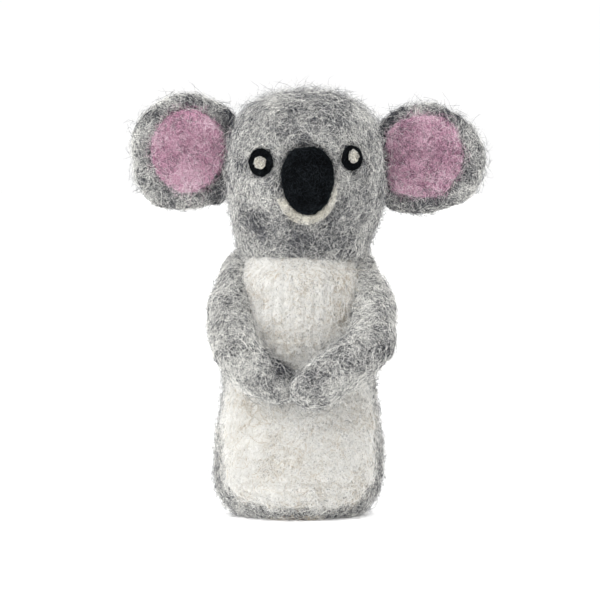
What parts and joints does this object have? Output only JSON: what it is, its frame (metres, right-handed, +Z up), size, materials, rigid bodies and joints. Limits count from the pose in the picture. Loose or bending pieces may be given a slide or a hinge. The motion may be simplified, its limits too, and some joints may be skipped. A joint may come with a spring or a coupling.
{
  "type": "felted wool finger puppet",
  "caption": "Standing koala finger puppet of felted wool with round ears, hugging arms, a white belly layer and a pocket for one finger from below.",
  "frame": {"origin": "on the standing surface, under the middle of the puppet's overall box", "axes": "+Z up along the finger pocket, the face looks along -Y, +X to the viewer's right of the face; left and right in names are the viewer's"},
  "size_m": [0.0822, 0.0414, 0.0996],
  "materials": {
    "grey_wool": "matte heathered grey felt with a fuzzy halo",
    "white_wool": "matte off-white felt, combed downwards",
    "core_wool": "matte undyed core wool",
    "black_wool": "matte black felt, tightly needled",
    "cream_wool": "matte cream felt",
    "pink_wool": "matte dusty pink felt"
  },
  "bodies": {
    "body": {"body_shell": "grey_wool", "pocket_lining": "core_wool", "belly_panel": "white_wool"},
    "neck": {"neck_sleeve": "grey_wool"},
    "head": {"head_core": "core_wool", "head_cover": "grey_wool", "muzzle_patch": "cream_wool", "nose": "black_wool", "left_eye": "black_wool", "right_eye": "black_wool", "left_eye_glint": "cream_wool", "right_eye_glint": "cream_wool"},
    "left_ear": {"left_ear": "grey_wool", "left_ear_lining": "pink_wool"},
    "right_ear": {"right_ear": "grey_wool", "right_ear_lining": "pink_wool"},
    "left_arm": {"left_arm": "grey_wool"},
    "right_arm": {"right_arm": "grey_wool"}
  },
  "joints": [
    {"name": "head_nod", "type": "hinge", "parent": "body", "child": "neck", "pos_m": [-0.0018, 0.00384, 0.053], "axis": [1, 0, 0], "range_deg": [-10, 10], "stiffness_Nm_per_rad": 0.03},
    {"name": "head_turn", "type": "hinge", "parent": "neck", "child": "head", "pos_m": [-0.0018, 0.00384, 0.053], "axis": [0, 0, 1], "range_deg": [-30, 30], "stiffness_Nm_per_rad": 0.02},
    {"name": "left_ear_flap", "type": "hinge", "parent": "head", "child": "left_ear", "pos_m": [-0.0181, 0.00644, 0.085], "axis": [0, 0, 1], "range_deg": [-25, 25], "stiffness_Nm_per_rad": 0.005},
    {"name": "right_ear_flap", "type": "hinge", "parent": "head", "child": "right_ear", "pos_m": [0.0173, 0.00644, 0.0835], "axis": [0, 0, 1], "range_deg": [-25, 25], "stiffness_Nm_per_rad": 0.005},
    {"name": "left_arm_lift", "type": "hinge", "parent": "body", "child": "left_arm", "pos_m": [-0.015, 0.00234, 0.0544], "axis": [-1, 0, 0], "range_deg": [0, 55], "stiffness_Nm_per_rad": 0.005},
    {"name": "right_arm_lift", "type": "hinge", "parent": "body", "child": "right_arm", "pos_m": [0.0114, 0.00234, 0.0544], "axis": [-1, 0, 0], "range_deg": [0, 55], "stiffness_Nm_per_rad": 0.005}
  ]
}
